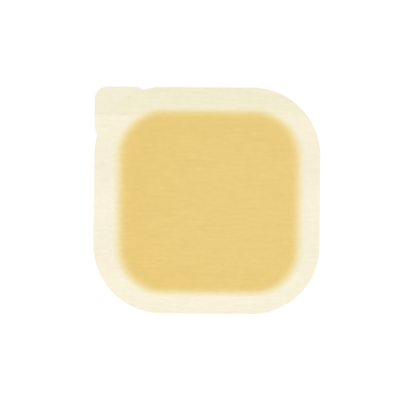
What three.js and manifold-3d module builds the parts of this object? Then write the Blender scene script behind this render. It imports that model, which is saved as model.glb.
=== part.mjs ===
// Bordered hydrocolloid wound dressing, laid flat on its release liner with the film side up.
// Millimetres, +Z up. The origin is the middle of the die-cut square, on the liner's underside.
// The peel tab is at the -X, +Y corner.
import * as THREE from 'three';
import { mergeVertices } from 'three/addons/utils/BufferGeometryUtils.js';
import Module from 'manifold-3d';

// Die-cut outline, shared by the film, the wafer and the liner
const DRESSING_WIDTH = 100; // along X
const DRESSING_LENGTH = 100; // along Y
const CORNER_RADIUS = 30;

// Layers, from the bottom up
const LINER_THICKNESS = 0.12; // siliconised paper
const RIM_THICKNESS = 0.12; // hydrocolloid left under the pressed border
const PAD_THICKNESS = 1.8; // hydrocolloid under the flat middle
const FILM_THICKNESS = 0.05; // polyurethane, bonded to the hydrocolloid

// Pad: the hydrocolloid rises from the pressed border to the flat middle in a soft slope. The sides
// face -X and +X and the ends -Y and +Y. A border runs from the outline to half way up the slope.
const SIDE_BORDER_WIDTH = 10.7;
const END_BORDER_WIDTH = 10.4;
const SIDE_SLOPE_WIDTH = 7.4;
const END_SLOPE_WIDTH = 5.4;
const PAD_SHIFT_X = 0.8; // the pad is pressed a little off the die's centre
const PAD_SHIFT_Y = -0.7;
const SMALLEST_PAD_RADIUS = 1;

// Peel tab, which fills the corner of the square that the round outline leaves free
const TAB_WIDTH = 21.1; // along X
const TAB_LENGTH = 21.3; // along Y
const TAB_CORNER_RADIUS = 5.5;
const TAB_END_RADIUS = 3;

// Fineness of the faceted surfaces
const ARC_SEGMENTS = 12;
const SLOPE_STEPS = 6;

const COLOURS = { liner: 0xf7f0d9, hydrocolloid: 0xebcd80, film: 0xf6f0dc };

const halfWidth = DRESSING_WIDTH / 2;
const halfLength = DRESSING_LENGTH / 2;

// Points of a rounded rectangle, anticlockwise, as many for any size
function roundedRectangle(halfX, halfY, radius, centreX = 0, centreY = 0) {
  const corners = [[1, 1], [-1, 1], [-1, -1], [1, -1]];
  return corners.flatMap(([signX, signY], quarter) => {
    const arc = new THREE.EllipseCurve(
      centreX + signX * (halfX - radius),
      centreY + signY * (halfY - radius),
      radius,
      radius,
      (quarter * Math.PI) / 2,
      ((quarter + 1) * Math.PI) / 2,
    );
    return arc.getPoints(ARC_SEGMENTS);
  });
}

const dressingOutline = roundedRectangle(halfWidth, halfLength, CORNER_RADIUS);

function raise(outline, height) {
  return outline.map((point) => new THREE.Vector3(point.x, point.y, height));
}

// Level line of the pad's slope, where climb runs from 0 at its foot to 1 at its brow
function slopeRing(climb) {
  const inward = climb - 0.5;
  const inwardX = SIDE_BORDER_WIDTH + inward * SIDE_SLOPE_WIDTH;
  const inwardY = END_BORDER_WIDTH + inward * END_SLOPE_WIDTH;
  const radius = Math.max(CORNER_RADIUS - (inwardX + inwardY) / 2, SMALLEST_PAD_RADIUS);
  const outline = roundedRectangle(
    halfWidth - inwardX,
    halfLength - inwardY,
    radius,
    PAD_SHIFT_X,
    PAD_SHIFT_Y,
  );
  const rise = THREE.MathUtils.smoothstep(climb, 0, 1);
  return raise(outline, THREE.MathUtils.lerp(RIM_THICKNESS, PAD_THICKNESS, rise));
}

// Upper surface of the hydrocolloid, measured from its flat underside: the border, then the slope
function padSurface() {
  const climbs = Array.from({ length: SLOPE_STEPS + 1 }, (_, step) => step / SLOPE_STEPS);
  return [raise(dressingOutline, RIM_THICKNESS), ...climbs.map(slopeRing)];
}

// Triangles between two rings, which face up where the second ring lies inside the first
function band(first, second, count) {
  return Array.from({ length: count }, (_, j) => {
    const next = (j + 1) % count;
    return [
      [first + j, first + next, second + next],
      [first + j, second + next, second + j],
    ];
  }).flat();
}

// Triangles of the surface through the rings, outermost first, closed over the last ring
function surfaceTriangles(rings, start) {
  const count = rings[0].length;
  const bands = rings.slice(1).flatMap((_, i) => band(start + i * count, start + (i + 1) * count, count));
  const lastRing = start + (rings.length - 1) * count;
  const cap = THREE.ShapeUtils.triangulateShape(rings.at(-1), []);
  return [...bands, ...cap.map((corners) => corners.map((corner) => lastRing + corner))];
}

// Closed layer between a lower and an upper surface that share their outermost outline
function layerBetween(lowerRings, upperRings) {
  const count = lowerRings[0].length;
  const upperStart = lowerRings.length * count;
  const underside = surfaceTriangles(lowerRings, 0).map(([a, b, c]) => [a, c, b]);
  const edge = band(0, upperStart, count);
  const top = surfaceTriangles(upperRings, upperStart);
  const geometry = new THREE.BufferGeometry();
  geometry.setFromPoints([...lowerRings, ...upperRings].flat());
  geometry.setIndex([...underside, ...edge, ...top].flat());
  return geometry;
}

// Peel tab with a large outer corner and two small ones where it ends; the fourth is in the square
function tabOutline() {
  const left = -halfWidth;
  const right = left + TAB_WIDTH;
  const top = halfLength;
  const bottom = top - TAB_LENGTH;
  const quarterTurn = Math.PI / 2;
  const shape = new THREE.Shape();
  shape.moveTo(right, bottom);
  shape.absarc(right - TAB_END_RADIUS, top - TAB_END_RADIUS, TAB_END_RADIUS, 0, quarterTurn);
  shape.absarc(
    left + TAB_CORNER_RADIUS,
    top - TAB_CORNER_RADIUS,
    TAB_CORNER_RADIUS,
    quarterTurn,
    2 * quarterTurn,
  );
  shape.absarc(
    left + TAB_END_RADIUS,
    bottom + TAB_END_RADIUS,
    TAB_END_RADIUS,
    2 * quarterTurn,
    3 * quarterTurn,
  );
  return shape;
}

const wasm = await Module();
wasm.setup();

function sheetSolid(shape) {
  const sheet = new THREE.ExtrudeGeometry(shape, {
    depth: LINER_THICKNESS,
    bevelEnabled: false,
    curveSegments: ARC_SEGMENTS,
  });
  sheet.deleteAttribute('normal');
  sheet.deleteAttribute('uv');
  const merged = mergeVertices(sheet);
  return new wasm.Manifold(new wasm.Mesh({
    numProp: 3,
    vertProperties: merged.attributes.position.array,
    triVerts: Uint32Array.from(merged.index.array),
  }));
}

function linerGeometry() {
  const square = sheetSolid(new THREE.Shape(dressingOutline));
  const sheet = square.add(sheetSolid(tabOutline())).getMesh();
  const geometry = new THREE.BufferGeometry();
  geometry.setAttribute('position', new THREE.BufferAttribute(sheet.vertProperties, sheet.numProp));
  geometry.setIndex(Array.from(sheet.triVerts));
  return geometry;
}

function waferGeometry() {
  return layerBetween([raise(dressingOutline, 0)], padSurface());
}

// The film drapes over the wafer, so its underside is the wafer's upper surface
function filmGeometry() {
  const underside = padSurface();
  const lift = new THREE.Vector3(0, 0, FILM_THICKNESS);
  const top = underside.map((ring) => ring.map((point) => point.clone().add(lift)));
  return layerBetween(underside, top);
}

function layer(name, geometry, materialSettings, height = 0) {
  const material = new THREE.MeshStandardMaterial({ metalness: 0, ...materialSettings });
  const mesh = new THREE.Mesh(geometry, material);
  mesh.name = name;
  mesh.position.z = height;
  return mesh;
}

const dressing = new THREE.Group();
dressing.add(
  layer('release_liner', linerGeometry(), { color: COLOURS.liner, roughness: 0.55 }),
  layer(
    'hydrocolloid_wafer',
    waferGeometry(),
    { color: COLOURS.hydrocolloid, roughness: 0.7 },
    LINER_THICKNESS,
  ),
  layer(
    'backing_film',
    filmGeometry(),
    { color: COLOURS.film, roughness: 0.45, transparent: true, opacity: 0.1 },
    LINER_THICKNESS,
  ),
);

export default dressing;
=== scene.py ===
# %% [markdown]
# # A bordered hydrocolloid dressing
#
# A hydrocolloid dressing is a laminate of three layers: a release liner of siliconised paper, a
# sheet of amber hydrocolloid adhesive, and a very thin polyurethane film over it. A heated plate
# presses the hydrocolloid nearly to nothing around the edge, so a thick pad slopes down to a thin
# border, and a die then cuts all the layers in one stroke. Only the liner has a tab.
#
# One slab with painted regions would look much the same from above. Here every layer is built as
# its own closed mesh instead, in metres, on the frame that holds the sizes, because the liner is
# peeled off in use and each layer is another material.

# %% Load the frame
import math
import bmesh
import bpy
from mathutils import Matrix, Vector, noise


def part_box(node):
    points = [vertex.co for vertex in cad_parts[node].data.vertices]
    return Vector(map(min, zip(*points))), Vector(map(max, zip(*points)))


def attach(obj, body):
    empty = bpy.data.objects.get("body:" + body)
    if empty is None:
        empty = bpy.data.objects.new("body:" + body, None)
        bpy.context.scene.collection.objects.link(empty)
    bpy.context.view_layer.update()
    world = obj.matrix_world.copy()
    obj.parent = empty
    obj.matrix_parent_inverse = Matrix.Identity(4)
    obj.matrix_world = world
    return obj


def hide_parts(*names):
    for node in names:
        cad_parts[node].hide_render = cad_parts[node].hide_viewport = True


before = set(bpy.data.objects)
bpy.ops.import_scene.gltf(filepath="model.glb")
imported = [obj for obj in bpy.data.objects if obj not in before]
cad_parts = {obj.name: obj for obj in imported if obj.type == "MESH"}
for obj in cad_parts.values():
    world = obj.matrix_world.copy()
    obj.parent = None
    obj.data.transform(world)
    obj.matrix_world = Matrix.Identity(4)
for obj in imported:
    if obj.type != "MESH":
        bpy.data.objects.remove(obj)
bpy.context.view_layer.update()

MM = 0.001

# %% [markdown]
# ## Sizes of the laminate
#
# The outer sizes and the thickness of each layer could be typed in again, but then they might
# drift away from the frame, so they are read from its boxes. What a box can't show, such as a
# corner's radius or how wide the pad's slope is, is named as a real size where it is first needed.

# %% Sizes of the laminate
liner_low, liner_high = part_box("release_liner")
wafer_low, wafer_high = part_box("hydrocolloid_wafer")
film_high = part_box("backing_film")[1]
HALF_WIDTH = (wafer_high[0] - wafer_low[0]) / 2
HALF_LENGTH = (wafer_high[1] - wafer_low[1]) / 2
LINER_THICKNESS = liner_high[2] - liner_low[2]
PAD_THICKNESS = wafer_high[2] - wafer_low[2]
FILM_THICKNESS = film_high[2] - wafer_high[2]
print("square in mm:", [round(2 * half / MM, 3) for half in (HALF_WIDTH, HALF_LENGTH)])
print("layers in mm:", [round(t / MM, 3) for t in (LINER_THICKNESS, PAD_THICKNESS, FILM_THICKNESS)])

# %% [markdown]
# ## A die-cut outline
#
# The die cuts a square with large round corners. Its points could be worked out one by one, but
# bevelling the corner points of one flat face does the same work: bevelling points instead of
# edges, with a profile of 0.5, gives true quarter circles.

# %% Die-cut face
CORNER_RADIUS = 30 * MM
ARC_SEGMENTS = 24
SQUARE = ((-HALF_WIDTH, -HALF_LENGTH), (HALF_WIDTH, HALF_LENGTH))
SQUARE_CORNERS = {(x, y): CORNER_RADIUS for x in (-1, 1) for y in (-1, 1)}


def die_cut_face(bm, low, high, height, radii):
    """A flat face between two corners; radii maps the signs of a corner to its radius."""
    made = bmesh.ops.create_grid(bm, x_segments=1, y_segments=1, size=0.5)["verts"]
    size = Vector((high[0] - low[0], high[1] - low[1], 1))
    bmesh.ops.scale(bm, vec=size, verts=made)
    middle = Vector(((low[0] + high[0]) / 2, (low[1] + high[1]) / 2, height))
    bmesh.ops.translate(bm, vec=middle, verts=made)
    corners = {(math.copysign(1, v.co.x - middle.x), math.copysign(1, v.co.y - middle.y)): v
               for v in made}
    for signs, radius in radii.items():
        bmesh.ops.bevel(bm, geom=[corners[signs]], offset=radius, offset_type="OFFSET",
                        affect="VERTICES", segments=ARC_SEGMENTS, profile=0.5, material=-1)
    bm.faces.ensure_lookup_table()
    return bm.faces[0]


sample = bmesh.new()
square_face = die_cut_face(sample, *SQUARE, 0, SQUARE_CORNERS)
print("die-cut square:", len(square_face.verts), "points,",
      round(square_face.calc_area() / MM ** 2), "square mm")
sample.free()

# %% [markdown]
# ## From a surface to a sheet
#
# Paper and film have one thickness all over. Solidify could give it, but extruding the whole
# region straight up and keeping the original as the underside leaves the outline exactly as the
# die cut it, with upright edges.

# %% Thickness
def of_kind(geometry, kind):
    """The points or edges among what an operator made."""
    return [part for part in geometry if isinstance(part, kind)]


def thicken(bm, thickness):
    """Turns an open surface into a closed sheet by raising a copy of it."""
    underside = bm.faces[:]
    raised = bmesh.ops.extrude_face_region(bm, geom=underside, use_keep_orig=True)["geom"]
    bmesh.ops.translate(bm, vec=(0, 0, thickness), verts=of_kind(raised, bmesh.types.BMVert))
    bmesh.ops.reverse_faces(bm, faces=underside)
    bmesh.ops.recalc_face_normals(bm, faces=bm.faces[:])


# %% [markdown]
# ## How the dressing lies
#
# A dressing straight from its pouch isn't dead flat. Its far half lifts a little, the thin border
# bends where it leaves the thick pad, in one straight crease that runs on across the tab, and the
# free edge waves by less than a tenth of a millimetre. A cloth simulation could find such a
# shape, but the layers are bonded and have to move as one. So they share one function of place
# that says how high each point is lifted.

# %% Lift off the table
CREASE_Y = HALF_LENGTH - 11.85 * MM
CREASE_WIDTH = 1 * MM
CURL_START_Y = 0.0
CURL_SLOPE = math.tan(math.radians(0.25))    # of the curl at the crease and beyond it
FLANGE_SLOPE = math.tan(math.radians(0.5))   # how much steeper it is past the crease
WAVE_HEIGHT = 0.06 * MM
WAVE_LENGTH = 34 * MM
WAVE_START = 0.5                             # share of the way from the middle to the edge


def smoothstep(t):
    t = min(max(t, 0), 1)
    return t * t * (3 - 2 * t)


def curl(y):
    """A parabola from the middle to the crease, and straight beyond it."""
    curled = min(max(y, CURL_START_Y), CREASE_Y) - CURL_START_Y
    parabola = curled ** 2 / (2 * (CREASE_Y - CURL_START_Y))
    return CURL_SLOPE * (parabola + max(y - CREASE_Y, 0))


def flange(y):
    """The extra rise past the crease, which is rounded over its own width."""
    past = y - (CREASE_Y - CREASE_WIDTH / 2)
    rounded = min(max(past, 0), CREASE_WIDTH)
    return FLANGE_SLOPE * (rounded ** 2 / (2 * CREASE_WIDTH) + max(past - CREASE_WIDTH, 0))


def waves(x, y):
    """Slow waves that die out from the free edge towards the middle."""
    outward = max(abs(x) / HALF_WIDTH, abs(y) / HALF_LENGTH)
    swell = 0.5 + 0.5 * noise.noise(Vector((x, y, 0)) / WAVE_LENGTH)
    return WAVE_HEIGHT * swell * smoothstep((outward - WAVE_START) / (1 - WAVE_START))


def lift(x, y):
    """How far the laminate is off the table at a place."""
    return curl(y) + flange(y) + waves(x, y)


print("lift in mm at the crease and at the far edge:",
      [round(lift(0, y) / MM, 3) for y in (CREASE_Y, HALF_LENGTH)])

# %% [markdown]
# One big face can't bend, because it has no points between its corners. Subdividing it would
# give it some, but planes that cut straight rows and columns leave the round outline as it is,
# and three of them can stand right on the crease.

# %% Rows and columns that can bend
GRID_STEP = 2.5 * MM
ON_PLANE = 1e-8                # a point this near to a plane counts as on it


def cut_into_grid(bm):
    """Cuts a layer along rows and columns, and along three close rows at the crease."""
    steps = int(HALF_LENGTH / GRID_STEP)
    places = [(axis, i * GRID_STEP) for axis in (0, 1) for i in range(1 - steps, steps)]
    places += [(1, CREASE_Y + side * CREASE_WIDTH / 2) for side in (-1, 0, 1)]
    for axis, place in places:
        normal = Vector((0, 0, 0))
        normal[axis] = 1
        bmesh.ops.bisect_plane(bm, geom=bm.verts[:] + bm.edges[:] + bm.faces[:], dist=ON_PLANE,
                               plane_co=normal * place, plane_no=normal)


def lay_down(bm):
    """Lifts each point of a layer by as much as the laminate is off the table there."""
    for v in bm.verts:
        v.co.z += lift(v.co.x, v.co.y)


# %% [markdown]
# Pressed and rolled layers are smooth all over, and only their cut edges are sharp. A tiny bevel
# on every edge could show that, but it would be finer than anyone can see. So a piece is shaded
# smooth, apart from edges where it turns by more than a set angle.

# %% Finished piece
SHARP_ANGLE = math.radians(35)


def finish_piece(bm, name, material):
    """Closes off a mesh as an object at the origin, smooth apart from its cut edges."""
    mesh = bpy.data.meshes.new(name)
    bm.to_mesh(mesh)
    bm.free()
    mesh.shade_smooth()
    mesh.set_sharp_from_angle(angle=SHARP_ANGLE)
    mesh.materials.append(material)
    piece = bpy.data.objects.new(name, mesh)
    bpy.context.scene.collection.objects.link(piece)
    heights = [v.co.z / MM for v in mesh.vertices]
    print(f"{name}: {len(mesh.vertices)} points, z {min(heights):.3f} to {max(heights):.3f} mm")
    return piece


# %% [markdown]
# ## Colours and nodes
#
# Colours are written as sRGB hex values and turned linear in one place. A material could be wired
# link by link, which is hard to read back. One small function adds a node, sets it up and links
# it instead, so that each material below reads as a list of its nodes.

# %% Material helpers
def srgb(hex_colour):
    """An sRGB hex colour as linear red, green, blue and an alpha of 1."""
    channels = [int(hex_colour[i:i + 2], 16) / 255 for i in (1, 3, 5)]
    linear = [c / 12.92 if c <= 0.04045 else ((c + 0.055) / 1.055) ** 2.4 for c in channels]
    return (*linear, 1.0)


def add_node(tree, kind, inputs=None, **settings):
    """Adds a node; each input is a value, or the socket that feeds it."""
    node = tree.nodes.new(kind)
    for name, value in settings.items():
        setattr(node, name, value)
    for name, value in (inputs or {}).items():
        if isinstance(value, bpy.types.NodeSocket):
            tree.links.new(value, node.inputs[name])
        else:
            node.inputs[name].default_value = value
    return node


def new_material(name):
    """A new material with its node tree, its surface shader and its place coordinates."""
    material = bpy.data.materials.new(name)
    material.use_nodes = True
    tree = material.node_tree
    surface = tree.nodes["Principled BSDF"]
    place = add_node(tree, "ShaderNodeTexCoord").outputs["Object"]
    return material, tree, surface, place


WHITE = srgb("#ffffff")
print("white in linear light:", WHITE)

# %% [markdown]
# Paper, gum and film are all a little uneven, and each unevenness has a real size, longer one way
# than the other where a roller drew it out. An image could hold such a pattern, but noise needs
# no file and doesn't repeat. It serves in two ways: as a height for a bump, and as a factor about
# 1 that makes a tone a little lighter here and darker there.

# %% Grain and tone with a real size
MIDDLE_NOISE = (0.25, 0.75)    # where nearly all of the noise lies


def grain(tree, place, size_mm, detail=2.0):
    """Noise whose grains have a size in millimetres along X, Y and Z."""
    scale = tuple(1 / (size * MM) for size in size_mm)
    sized = add_node(tree, "ShaderNodeMapping", {"Vector": place, "Scale": scale})
    return add_node(tree, "ShaderNodeTexNoise", {
        "Vector": sized.outputs["Vector"], "Scale": 1.0, "Detail": detail}).outputs["Fac"]


def uneven_tone(tree, place, size_mm, spread, detail=2.0):
    """The same noise as a factor that strays from 1 by about the spread."""
    return add_node(tree, "ShaderNodeMapRange", {
        "Value": grain(tree, place, size_mm, detail),
        "From Min": MIDDLE_NOISE[0], "From Max": MIDDLE_NOISE[1],
        "To Min": 1 - spread, "To Max": 1 + spread}, clamp=False).outputs["Result"]


# %% [markdown]
# ## Tone of the paper, with painted shade
#
# The liner is cream release paper. Where the laminate comes up off the table it is painted a little
# deeper, as painted shade for the light that comes back through it less there, and the crease is a
# fine painted shade line that fades away from the tab. The light alone would show next to nothing
# of so low a fold, so both are painted shade in the tone. The thin border of the dressing lets that
# tone through, so the paper and the hydrocolloid over it both start from this one function.

# %% Tone of the release paper, with painted shade
FLAT_PAPER = srgb("#f6efda")
# painted shade: the deeper colour of the paper where the laminate is lifted off the table
SHADED_LIFTED_PAPER = srgb("#f0eacf")
TONE_START_Y = -30 * MM
CURL_TONE = 0.35               # share of the deeper tone that comes gradually, before the crease
CREASE_LINE_HALF = 0.3 * MM
CREASE_DARK = 0.05             # on the tab and beside it, where the crease is sharp
CREASE_FADE_X = (-35 * MM, -22 * MM)  # from there on it fades, and past that it is gone


def paper_tone_and_shade(tree, place):
    """The paper's colour, with painted shade towards the far edge and along the crease."""
    axes = add_node(tree, "ShaderNodeSeparateXYZ", {"Vector": place}).outputs
    curled = add_node(tree, "ShaderNodeMapRange", {
        "Value": axes["Y"], "From Min": TONE_START_Y, "From Max": CREASE_Y, "To Max": CURL_TONE})
    bent = add_node(tree, "ShaderNodeMapRange", {
        "Value": axes["Y"], "From Min": CREASE_Y - CREASE_LINE_HALF,
        "From Max": CREASE_Y + CREASE_LINE_HALF, "To Max": 1 - CURL_TONE})
    lifted = add_node(tree, "ShaderNodeMath", {
        0: curled.outputs["Result"], 1: bent.outputs["Result"]}, operation="ADD")
    tone = add_node(tree, "ShaderNodeValToRGB", {"Fac": lifted.outputs["Value"]})
    for stop, colour in zip(tone.color_ramp.elements, (FLAT_PAPER, SHADED_LIFTED_PAPER)):
        stop.color = colour
    # painted shade: a fine darker line along the crease, strongest on the tab
    strength = add_node(tree, "ShaderNodeMapRange", {
        "Value": axes["X"], "From Min": CREASE_FADE_X[0], "From Max": CREASE_FADE_X[1],
        "To Min": CREASE_DARK, "To Max": 0.0})
    on_crease = add_node(tree, "ShaderNodeMath", {
        0: axes["Y"], 1: CREASE_Y, 2: CREASE_LINE_HALF}, operation="COMPARE")
    line = add_node(tree, "ShaderNodeMath", {
        0: on_crease.outputs["Value"], 1: strength.outputs["Result"]}, operation="MULTIPLY")
    kept = add_node(tree, "ShaderNodeMath", {
        0: 1.0, 1: line.outputs["Value"]}, operation="SUBTRACT")
    creased = add_node(tree, "ShaderNodeVectorMath", {
        0: tone.outputs["Color"], 1: kept.outputs["Value"]}, operation="MULTIPLY")
    return creased.outputs["Vector"]


for state, colour in (("flat", FLAT_PAPER), ("lifted", SHADED_LIFTED_PAPER)):
    print(state, "paper in linear light:", [round(c, 3) for c in colour[:3]])

# %% [markdown]
# ## Release paper
#
# Release paper is smoothed between rollers and coated with silicone, which gives the eye a satin
# sheet with hardly any fibre. Displacing the mesh for the fibre would need millions of faces, so
# a bump does it. Real fibres are a few hundredths of a millimetre wide, and they are drawn much
# coarser here so that they show at all. Cloudiness in the pulp, a few millimetres across, makes
# the tone faintly uneven.

# %% Release paper material
CLOUD_MM = (3, 2, 3)
CLOUD_SPREAD = 0.02
FIBRE_MM = (0.6, 0.25, 0.6)
FIBRE_HEIGHT = 0.02 * MM


def siliconised_release_paper():
    material, tree, surface, place = new_material("siliconised_release_paper")
    clouds = uneven_tone(tree, place, CLOUD_MM, CLOUD_SPREAD, detail=4.0)
    colour = add_node(tree, "ShaderNodeVectorMath", {
        0: paper_tone_and_shade(tree, place), 1: clouds}, operation="MULTIPLY")
    tree.links.new(colour.outputs["Vector"], surface.inputs["Base Color"])
    fibre = grain(tree, place, FIBRE_MM, detail=4.0)
    bump = add_node(tree, "ShaderNodeBump", {
        "Height": fibre, "Strength": 0.4, "Distance": FIBRE_HEIGHT})
    tree.links.new(bump.outputs["Normal"], surface.inputs["Normal"])
    surface.inputs["Roughness"].default_value = 0.5
    surface.inputs["IOR"].default_value = 1.45
    return material


paper = siliconised_release_paper()
print(paper.name, "has", len(paper.node_tree.nodes), "nodes")

# %% [markdown]
# ## Release liner
#
# The liner is one sheet: the rounded square and the tab that fills one corner of it. It could be
# drawn as one outline, but then someone has to work out where the tab's small round ends meet the
# big corner arc. Two plain sheets joined by a Boolean leave that to Blender.

# %% Build the liner
TAB_WIDTH = 21.1 * MM
TAB_LENGTH = 21.3 * MM
TAB_CORNER_RADIUS = 5.5 * MM
TAB_END_RADIUS = 3 * MM
WELD_DISTANCE = 1e-7           # points closer than this are one
FLAT_ANGLE = math.radians(1)   # edges that turn by less are only left over from the join


def sheet_object(name, low, high, radii):
    """A flat sheet of paper as an object, so that a modifier can use it."""
    bm = bmesh.new()
    die_cut_face(bm, low, high, 0, radii)
    thicken(bm, LINER_THICKNESS)
    mesh = bpy.data.meshes.new(name)
    bm.to_mesh(mesh)
    bm.free()
    sheet = bpy.data.objects.new(name, mesh)
    bpy.context.scene.collection.objects.link(sheet)
    return sheet


def join_sheets(sheet, other):
    """One mesh from two overlapping sheets, which are used up."""
    join = sheet.modifiers.new("join", "BOOLEAN")
    join.operation = "UNION"
    join.solver = "EXACT"
    join.object = other
    joined = sheet.evaluated_get(bpy.context.evaluated_depsgraph_get())
    bm = bmesh.new()
    bm.from_mesh(joined.to_mesh())
    joined.to_mesh_clear()
    for scrap in (sheet, other):
        bpy.data.objects.remove(scrap)
    bmesh.ops.remove_doubles(bm, verts=bm.verts[:], dist=WELD_DISTANCE)
    bmesh.ops.dissolve_limit(bm, angle_limit=FLAT_ANGLE, verts=bm.verts[:], edges=bm.edges[:])
    return bm


def build_liner():
    square = sheet_object("square", *SQUARE, SQUARE_CORNERS)
    tab_radii = {(-1, 1): TAB_CORNER_RADIUS, (1, 1): TAB_END_RADIUS, (-1, -1): TAB_END_RADIUS}
    tab = sheet_object("tab", (-HALF_WIDTH, HALF_LENGTH - TAB_LENGTH),
                       (-HALF_WIDTH + TAB_WIDTH, HALF_LENGTH), tab_radii)
    bm = join_sheets(square, tab)
    cut_into_grid(bm)
    lay_down(bm)
    return finish_piece(bm, "creased_release_liner", paper)


liner = build_liner()
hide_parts("release_liner")
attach(liner, "root")

# %% [markdown]
# ## The pad's surface
#
# The heated plate leaves a thin flat border, a soft slope and a thick flat pad. The pad could be
# sculpted from a dense grid, but its slope is a set of level lines, all parallel to the outline.
# So the flat outline is inset again and again, and each new ring is fitted to its own half size
# and height, which follows a smooth S curve from the border to the pad.

# %% Rings of the slope
RIM_THICKNESS = 0.12 * MM
SIDE_BORDER_WIDTH = 10.7 * MM  # from the outline to half way up the slope, at -X and +X
END_BORDER_WIDTH = 10.4 * MM   # the same at -Y and +Y
SIDE_SLOPE_WIDTH = 7.4 * MM
END_SLOPE_WIDTH = 5.4 * MM
MEAN_BORDER_WIDTH = (SIDE_BORDER_WIDTH + END_BORDER_WIDTH) / 2
MEAN_SLOPE_WIDTH = (SIDE_SLOPE_WIDTH + END_SLOPE_WIDTH) / 2
PAD_CENTRE = Vector((0.8, -0.7)) * MM  # the pad is pressed a little off the die's centre
SLOPE_RINGS = 14
SUPPORT_WIDTH = 0.35 * MM      # narrow flat rings that keep the shading of flat parts flat


def inset(bm, face, width):
    """A new ring inside a flat face, at the same distance from it all round."""
    bmesh.ops.inset_region(bm, faces=[face], thickness=width, use_boundary=True,
                           use_even_offset=True)


def fit_ring(bm, face, half_x, half_y, height):
    """Fits the ring around a flat face to a half size and a height, about the pad's centre."""
    xs = [v.co.x for v in face.verts]
    ys = [v.co.y for v in face.verts]
    old = Vector(((min(xs) + max(xs)) / 2, (min(ys) + max(ys)) / 2, face.verts[0].co.z))
    factors = Vector((2 * half_x / (max(xs) - min(xs)), 2 * half_y / (max(ys) - min(ys)), 1))
    bmesh.ops.translate(bm, vec=-old, verts=face.verts)
    bmesh.ops.scale(bm, vec=factors, verts=face.verts)
    bmesh.ops.translate(bm, vec=(PAD_CENTRE.x, PAD_CENTRE.y, height), verts=face.verts)


def raise_slope(bm, face, base):
    """Rings from just outside the slope's foot, where climb is 0, to its brow, where it is 1."""
    ring_width = MEAN_SLOPE_WIDTH / SLOPE_RINGS
    inset(bm, face, SUPPORT_WIDTH)
    inset(bm, face, MEAN_BORDER_WIDTH - MEAN_SLOPE_WIDTH / 2 - ring_width - SUPPORT_WIDTH)
    for step in range(-1, SLOPE_RINGS + 1):
        climb = step / SLOPE_RINGS
        half_x = HALF_WIDTH - SIDE_BORDER_WIDTH - (climb - 0.5) * SIDE_SLOPE_WIDTH
        half_y = HALF_LENGTH - END_BORDER_WIDTH - (climb - 0.5) * END_SLOPE_WIDTH
        rise = (PAD_THICKNESS - RIM_THICKNESS) * smoothstep(climb)
        fit_ring(bm, face, half_x, half_y, base + RIM_THICKNESS + rise)
        if step < SLOPE_RINGS:
            inset(bm, face, ring_width)


for side, width in (("sides", SIDE_SLOPE_WIDTH), ("ends", END_SLOPE_WIDTH)):
    angle = math.degrees(math.atan((PAD_THICKNESS - RIM_THICKNESS) / width))
    print("mean slope at the", side, "in degrees:", round(angle, 1))

# %% [markdown]
# The plate also squeezes a little hydrocolloid back from the slope, which leaves the pad slightly
# thicker just inside its brow than in its middle. A few more rings carry that low ridge, because
# one flat face over the whole pad couldn't.

# %% Ridge behind the brow
SQUEEZE_HEIGHT = 0.04 * MM
SQUEEZE_WIDTH = 13 * MM
SQUEEZE_RINGS = 8
SQUEEZE_LEAN = 0.6             # below 1, the ridge is highest on the brow's side of its middle


def squeeze_brow(bm, face, base):
    """Rings inside the brow that rise to a low ridge and fall back to the flat middle."""
    for step in range(1, SQUEEZE_RINGS + 1):
        inset(bm, face, SQUEEZE_WIDTH / SQUEEZE_RINGS)
        across = step / SQUEEZE_RINGS
        ridge = SQUEEZE_HEIGHT * math.sin(math.pi * across ** SQUEEZE_LEAN) ** 2
        for v in face.verts:
            v.co.z = base + PAD_THICKNESS + ridge
    inset(bm, face, SUPPORT_WIDTH)


def pad_surface(bm, base):
    """The laminate's upper surface, with its rim at base + RIM_THICKNESS."""
    face = die_cut_face(bm, *SQUARE, base + RIM_THICKNESS, SQUARE_CORNERS)
    raise_slope(bm, face, base)
    squeeze_brow(bm, face, base)


sample = bmesh.new()
pad_surface(sample, 0)
top = max(v.co.z for v in sample.verts)
print("pad surface:", len(sample.faces), "faces, up to", round(top / MM, 3), "mm")
sample.free()

# %% [markdown]
# ## Colour of the hydrocolloid
#
# The wafer is gelatine, pectin and cellulose gum in a rubber, a soft amber mass that lets some
# light through. A thin layer of it looks cream and a thick one amber, because light loses the
# same share of its blue in every tenth of a millimetre. Cream and amber could be painted on by
# region, with a painted fade between them. Here each point of the mesh carries the depth of
# hydrocolloid under it instead, and a ramp built on that law of absorption turns the depth into
# colour, so the fade follows from the slope.

# %% Colour that a depth leaves
DEPTH = "hydrocolloid_depth"
THROUGH_FULL_PAD = srgb("#f1d683")  # what a full pad over white gives back
# partly the gum's own colour and partly painted light: powers above 1 keep more red and green in
# thin layers, which lightens the slopes that their tilt leaves a little darker
DEPTH_POWER = (1.6, 1.15, 1.0)      # for red, green, blue; above 1, a thin layer takes less of it
DEEPEST = 1.25                      # of the pad's depth, at the end of the ramp
RAMP_STEPS = 15
LUMP_MM = (9, 6, 9)                 # the mass is mixed from lumps, so its strength varies a little
LUMP_SPREAD = 0.03
UNEVEN_PRESSING = 0.035             # more depth at -X, less at +X


def absorbed(depth):
    """What is left of white light after a depth of hydrocolloid, in pads, partly painted light in
    thin layers.
    """
    left = [share ** depth ** power for share, power in zip(THROUGH_FULL_PAD, DEPTH_POWER)]
    return (*left, 1.0)


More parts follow.
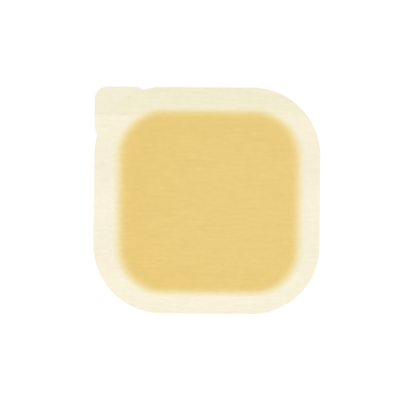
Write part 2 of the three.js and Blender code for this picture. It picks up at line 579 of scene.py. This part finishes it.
def tint_of_depth(tree, place, depth):
    """Turns the depth, made a little uneven, into the colour that it leaves."""
    axes = add_node(tree, "ShaderNodeSeparateXYZ", {"Vector": place}).outputs
    pressing = add_node(tree, "ShaderNodeMapRange", {
        "Value": axes["X"], "From Min": -HALF_WIDTH, "From Max": HALF_WIDTH,
        "To Min": 1 + UNEVEN_PRESSING, "To Max": 1 - UNEVEN_PRESSING}).outputs["Result"]
    lumps = uneven_tone(tree, place, LUMP_MM, LUMP_SPREAD, detail=3.0)
    along_ramp = depth
    for factor in (lumps, pressing, 1 / DEEPEST):
        along_ramp = add_node(tree, "ShaderNodeMath", {
            0: along_ramp, 1: factor}, operation="MULTIPLY").outputs["Value"]
    ramp = add_node(tree, "ShaderNodeValToRGB", {"Fac": along_ramp})
    stops = ramp.color_ramp.elements
    stops[0].color = absorbed(0)
    stops[1].color = absorbed(DEEPEST)
    for step in range(1, RAMP_STEPS):
        stops.new(step / RAMP_STEPS).color = absorbed(DEEPEST * step / RAMP_STEPS)
    return ramp.outputs["Color"]


for depth in (0.1, 0.5, 1):
    print("white light after", depth, "of the pad:", [round(c, 3) for c in absorbed(depth)[:3]])

# %% [markdown]
# ## Paper under the adhesive, with painted light and shade
#
# The pressed rim holds next to no hydrocolloid, so the liner's paper shows through it. There it is
# painted a touch lighter, as painted light that makes up for some of the light that the film over
# it holds back. The thin border also lies in long ripples along Y. They could be modelled, but they
# are so low that only a faint shade shows, so they are painted shade, a cosine in the tone, and a
# thicker layer veils it.

# %% Tone of the paper under the adhesive, with painted light and shade
# painted light: the paper under the film is drawn this much lighter
PAINTED_LIGHT_UNDER_FILM = 1.017           # how much lighter the paper looks
RIPPLE_LENGTH = 38 * MM
RIPPLE_CREST_Y = -3 * MM
RIPPLE_SHADE = 0.014
VEILED = 0.3                   # depth of hydrocolloid, in pads, at which the ripples don't show


def paper_with_painted_light_and_shade(tree, place, depth):
    """The paper's tone under adhesive, painted lighter, with the painted shade of faint ripples."""
    axes = add_node(tree, "ShaderNodeSeparateXYZ", {"Vector": place}).outputs
    turn = add_node(tree, "ShaderNodeMapRange", {
        "Value": axes["Y"], "From Min": RIPPLE_CREST_Y, "From Max": RIPPLE_CREST_Y + RIPPLE_LENGTH,
        "To Max": 2 * math.pi}, clamp=False)
    ripple = add_node(tree, "ShaderNodeMath", {0: turn.outputs["Result"]}, operation="COSINE")
    # painted shade of the ripples, which fades as the hydrocolloid thickens
    shade = add_node(tree, "ShaderNodeMapRange", {
        "Value": depth, "From Max": VEILED, "To Min": RIPPLE_SHADE, "To Max": 0.0})
    rippled = add_node(tree, "ShaderNodeMath", {
        0: ripple.outputs["Value"], 1: shade.outputs["Result"], 2: PAINTED_LIGHT_UNDER_FILM},
        operation="MULTIPLY_ADD")
    lightened_paper = add_node(tree, "ShaderNodeVectorMath", {
        0: paper_tone_and_shade(tree, place), 1: rippled.outputs["Value"]}, operation="MULTIPLY")
    return lightened_paper.outputs["Vector"]


print("ripples along the border:", round(2 * HALF_LENGTH / RIPPLE_LENGTH, 1))

# %% [markdown]
# ## Grain of the gum
#
# The mass is rolled to a sheet between rollers, which leaves long faint streaks along X and short
# grains of gum between them. They could be a bump, but they lie inside a mass that light enters,
# so they show as tone, and the grains more strongly where the layer is thick. Real grains of gum
# are about a tenth of a millimetre, and are drawn coarser so that they show.

# %% Grains that show more in a thick layer
STREAK_MM = (14, 0.9, 14)
STREAK_SPREAD = 0.028
SPECK_MM = (2.4, 1.1, 2.4)
SPECK_SPREAD = 0.024
SPECKS_WITH_DEPTH = 0.5        # how much stronger the grains are in a full pad than in no depth


def gum_specks(tree, place, depth):
    """A factor about 1, raised to a power that grows with the depth."""
    specks = uneven_tone(tree, place, SPECK_MM, SPECK_SPREAD)
    stronger = add_node(tree, "ShaderNodeMath", {
        0: depth, 1: SPECKS_WITH_DEPTH, 2: 1.0}, operation="MULTIPLY_ADD")
    return add_node(tree, "ShaderNodeMath", {
        0: specks, 1: stronger.outputs["Value"]}, operation="POWER").outputs["Value"]


print("grains stray from 1 by about", SPECK_SPREAD, "in no depth and by",
      round(SPECK_SPREAD * (1 + SPECKS_WITH_DEPTH), 3), "in a full pad")

# %% [markdown]
# ## Hydrocolloid adhesive
#
# Light comes back from the paper through the whole depth of the mass, so every layer of tone
# multiplies the one below it: paper, depth, streaks, grains. Real scattering inside the mesh
# could do this too, but it is slow, and an exported model doesn't keep it. The surface is a soft
# rubber pressed with a plain plate: matt, with pores drawn much coarser than they are.

# %% Hydrocolloid material
PORE_MM = (0.5, 0.5, 0.5)
PORE_HEIGHT = 0.02 * MM


def hydrocolloid_adhesive():
    material, tree, surface, place = new_material("hydrocolloid_adhesive")
    depth = add_node(tree, "ShaderNodeAttribute", attribute_name=DEPTH).outputs["Fac"]
    colour = paper_with_painted_light_and_shade(tree, place, depth)
    tint = tint_of_depth(tree, place, depth)
    streaks = uneven_tone(tree, place, STREAK_MM, STREAK_SPREAD)
    for tone in (tint, streaks, gum_specks(tree, place, depth)):
        colour = add_node(tree, "ShaderNodeVectorMath", {
            0: colour, 1: tone}, operation="MULTIPLY").outputs["Vector"]
    tree.links.new(colour, surface.inputs["Base Color"])
    pores = grain(tree, place, PORE_MM, detail=3.0)
    bump = add_node(tree, "ShaderNodeBump", {
        "Height": pores, "Strength": 0.3, "Distance": PORE_HEIGHT})
    tree.links.new(bump.outputs["Normal"], surface.inputs["Normal"])
    surface.inputs["Roughness"].default_value = 0.6
    surface.inputs["IOR"].default_value = 1.45
    return material


adhesive = hydrocolloid_adhesive()
print(adhesive.name, "has", len(adhesive.node_tree.nodes), "nodes")

# %% [markdown]
# ## Hydrocolloid wafer
#
# The wafer is flat underneath, and thickening its surface evenly would make a hollow bowl. So it
# is closed downwards: its outline is extruded to the liner and filled with one flat face. Each
# point then stores the depth of hydrocolloid under it, before the whole sheet is laid down with
# its curl. A gap of a hundredth of a millimetre keeps two bonded faces from lying in exactly one
# plane, where they would flicker.

# %% Build the wafer
BOND_GAP = 0.01 * MM
RIM_DEPTH = 0.018              # in pads; pressed so thin, the rim takes next to no colour


def close_downwards(bm, height):
    """A wall from the open outline down to one flat face."""
    outline = [e for e in bm.edges if e.is_boundary]
    wall = bmesh.ops.extrude_edge_only(bm, edges=outline)["geom"]
    bmesh.ops.translate(bm, vec=(0, 0, -height), verts=of_kind(wall, bmesh.types.BMVert))
    bmesh.ops.edgeloop_fill(bm, edges=of_kind(wall, bmesh.types.BMEdge))
    bmesh.ops.recalc_face_normals(bm, faces=bm.faces[:])


def store_depth(bm, rim_height):
    """Writes the depth of hydrocolloid under each point, from RIM_DEPTH to 1 pad."""
    layer = bm.verts.layers.float.new(DEPTH)
    for v in bm.verts:
        above_rim = max(v.co.z - rim_height, 0) / (PAD_THICKNESS - RIM_THICKNESS)
        v[layer] = RIM_DEPTH + (1 - RIM_DEPTH) * above_rim


def build_wafer():
    bm = bmesh.new()
    base = LINER_THICKNESS + BOND_GAP
    pad_surface(bm, base)
    close_downwards(bm, RIM_THICKNESS)
    cut_into_grid(bm)
    store_depth(bm, base + RIM_THICKNESS)
    lay_down(bm)
    return finish_piece(bm, "pressed_hydrocolloid_wafer", adhesive)


wafer = build_wafer()
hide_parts("hydrocolloid_wafer")
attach(wafer, "root")

# %% [markdown]
# ## Polyurethane film
#
# The backing is a cast film a twentieth of a millimetre thick: nearly clear, and matt so that it
# doesn't glare or drag on bedclothes. It could be made of refracting glass, but so thin a skin
# bends no light that anyone would see. A low alpha lets the pad show through instead, and what
# is left of the shader gives a weak sheen, broken up by fine lines along X from the casting roll
# and by a slow unevenness.

# %% Film material
FILM_TINT = srgb("#f8f3e2")
HAZE_MM = (20, 12, 20)
HAZE_SPREAD = 0.015
LINE_MM = (12, 0.8, 12)
LINE_HEIGHT = 0.02 * MM
BUCKLE_MM = (7, 5, 7)
BUCKLE_HEIGHT = 0.15 * MM
FILM_ROUGHNESS = (0.42, 0.52)  # in the hollows and on the crests of its lines
FILM_ALPHA = 0.03


def cast_polyurethane_film():
    material, tree, surface, place = new_material("cast_polyurethane_film")
    haze = uneven_tone(tree, place, HAZE_MM, HAZE_SPREAD)
    colour = add_node(tree, "ShaderNodeVectorMath", {
        0: FILM_TINT[:3], 1: haze}, operation="MULTIPLY")
    tree.links.new(colour.outputs["Vector"], surface.inputs["Base Color"])
    lines = grain(tree, place, LINE_MM, detail=3.0)
    fine = add_node(tree, "ShaderNodeBump", {
        "Height": lines, "Strength": 0.5, "Distance": LINE_HEIGHT})
    broad = add_node(tree, "ShaderNodeBump", {
        "Height": grain(tree, place, BUCKLE_MM), "Strength": 0.5, "Distance": BUCKLE_HEIGHT,
        "Normal": fine.outputs["Normal"]})
    tree.links.new(broad.outputs["Normal"], surface.inputs["Normal"])
    sheen = add_node(tree, "ShaderNodeMapRange", {
        "Value": lines, "To Min": FILM_ROUGHNESS[0], "To Max": FILM_ROUGHNESS[1]})
    tree.links.new(sheen.outputs["Result"], surface.inputs["Roughness"])
    surface.inputs["IOR"].default_value = 1.5
    surface.inputs["Alpha"].default_value = FILM_ALPHA
    return material


film_skin = cast_polyurethane_film()
print(film_skin.name, "has", len(film_skin.node_tree.nodes), "nodes and an alpha of", FILM_ALPHA)

# %% [markdown]
# ## Backing film
#
# The film drapes over the wafer. Shrinking a flat sheet onto it could go wrong at the slope, so
# the film starts from the very same surface, raised by the bond, and is thickened upwards by its
# own thickness.

# %% Build the film
def build_film():
    bm = bmesh.new()
    pad_surface(bm, LINER_THICKNESS + 2 * BOND_GAP)
    thicken(bm, FILM_THICKNESS)
    cut_into_grid(bm)
    lay_down(bm)
    return finish_piece(bm, "draped_backing_film", film_skin)


film = build_film()
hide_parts("backing_film")
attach(film, "root")

# %% [markdown]
# ## White table
#
# The dressing lies on a matt white table. Brighter lamps would make it pure white but wash out
# the cream paper. So the table adds a trace of its own white, for the camera and for what a
# mirror or glass shows, and never as light on the dressing. That keeps the background clean and
# lets the thin shadow at the edge show.

# %% Table
TABLE_WHITE = srgb("#f8f8f8")
TABLE_GLOW = 0.09
TABLE_HALF = 2.0
TABLE_DROP = 0.05 * MM         # below the liner, so that their faces don't meet in one plane


def seen_rays(tree):
    """1 for rays from the camera, gloss or glass, and 0 for those that only bring light."""
    path = add_node(tree, "ShaderNodeLightPath").outputs
    seen = path["Is Camera Ray"]
    for ray in ("Is Glossy Ray", "Is Transmission Ray"):
        seen = add_node(tree, "ShaderNodeMath", {
            0: seen, 1: path[ray]}, operation="MAXIMUM").outputs["Value"]
    return seen


def matt_white_table():
    material, tree, surface, _ = new_material("matt_white_table")
    glow = add_node(tree, "ShaderNodeMath", {
        0: seen_rays(tree), 1: TABLE_GLOW}, operation="MULTIPLY")
    surface.inputs["Base Color"].default_value = TABLE_WHITE
    surface.inputs["Roughness"].default_value = 1.0
    surface.inputs["Specular IOR Level"].default_value = 0.0
    surface.inputs["Emission Color"].default_value = WHITE
    tree.links.new(glow.outputs["Value"], surface.inputs["Emission Strength"])
    return material


def build_table():
    bm = bmesh.new()
    bmesh.ops.create_grid(bm, x_segments=1, y_segments=1, size=TABLE_HALF)
    bmesh.ops.translate(bm, vec=(0, 0, -TABLE_DROP), verts=bm.verts[:])
    return finish_piece(bm, "table", matt_white_table())


table = build_table()

# %% [markdown]
# ## White room
#
# A pale room lights the dressing from all sides, and its walls show as pure white behind it. One
# strength can't do both without too much light, so rays that are seen get a strength of 1 and
# rays that only bring light get less.

# %% Room light
ROOM_LIGHT = 0.79


def build_room():
    room = bpy.data.worlds.new("white_room")
    room.use_nodes = True
    tree = room.node_tree
    strength = add_node(tree, "ShaderNodeMapRange", {
        "Value": seen_rays(tree), "To Min": ROOM_LIGHT, "To Max": 1.0})
    background = tree.nodes["Background"]
    background.inputs["Color"].default_value = WHITE
    tree.links.new(strength.outputs["Result"], background.inputs["Strength"])
    return room


bpy.context.scene.world = build_room()
print("room light:", ROOM_LIGHT, "of white")

# %% [markdown]
# ## Soft lamp
#
# One large square lamp overhead adds the rest of the light and a soft direction to it. Its watts
# could be found by trial, but they follow from the share of light that is wanted. On a level
# surface at a distance d, a square lamp of P watts gives P cos(a) / (pi d^2), where a is the
# angle from overhead, and a white surface sends 1 / pi of that towards the eye.

# %% Lamp
LAMP_SHARE = 0.24              # of the light on a level surface; with the room it is about 1
LAMP_SIZE = 1.2
LAMP_PLACE = Vector((-0.1, 0.25, 1.8))
lamp_data = bpy.data.lights.new("soft_lamp", "AREA")
lamp_data.shape = "SQUARE"
lamp_data.size = LAMP_SIZE
cosine = LAMP_PLACE.normalized().z
lamp_data.energy = LAMP_SHARE * math.pi ** 2 * LAMP_PLACE.length_squared / cosine
lamp = bpy.data.objects.new("soft_lamp", lamp_data)
lamp.location = LAMP_PLACE
lamp.rotation_euler = (-LAMP_PLACE).to_track_quat("-Z", "Y").to_euler()
bpy.context.scene.collection.objects.link(lamp)
print("lamp watts:", round(lamp_data.energy, 2))

# %% [markdown]
# ## Camera
#
# The camera looks straight down. An orthographic one would show no perspective at all and a short
# lens too much for 2 mm of height, so it has a long lens. In the photograph the dressing is 225.4
# pixels wide in a frame of 400, lies a little right of the middle, and is turned clockwise by half
# a degree. The dressing stays square to the frame's axes, and the camera is moved and turned
# instead.

# %% Camera
FRAME_PIXELS = 400
DRESSING_PIXELS = 225.4
DRESSING_OFFSET = Vector((6.9, -0.56))  # of its middle from the frame's, in pixels, right and up
TURN = math.radians(0.53)
LENS_MM = 200
pixel = 2 * HALF_WIDTH / DRESSING_PIXELS
camera_data = bpy.data.cameras.new("camera")
camera_data.lens = LENS_MM
right = Vector((math.cos(TURN), math.sin(TURN), 0))
up = Vector((-math.sin(TURN), math.cos(TURN), 0))
camera = bpy.data.objects.new("camera", camera_data)
camera.location = -pixel * (right * DRESSING_OFFSET.x + up * DRESSING_OFFSET.y)
camera.location.z = FRAME_PIXELS * pixel * LENS_MM / camera_data.sensor_width
camera.rotation_euler = (0, 0, TURN)
bpy.context.scene.collection.objects.link(camera)
bpy.context.scene.camera = camera
print("camera at mm:", [round(c / MM, 2) for c in camera.location])

# %% [markdown]
# ## Colour
#
# The Standard view shows a colour as it is written, where a film-like one would dull the cream.

# %% Colour management
bpy.context.scene.view_settings.view_transform = "Standard"
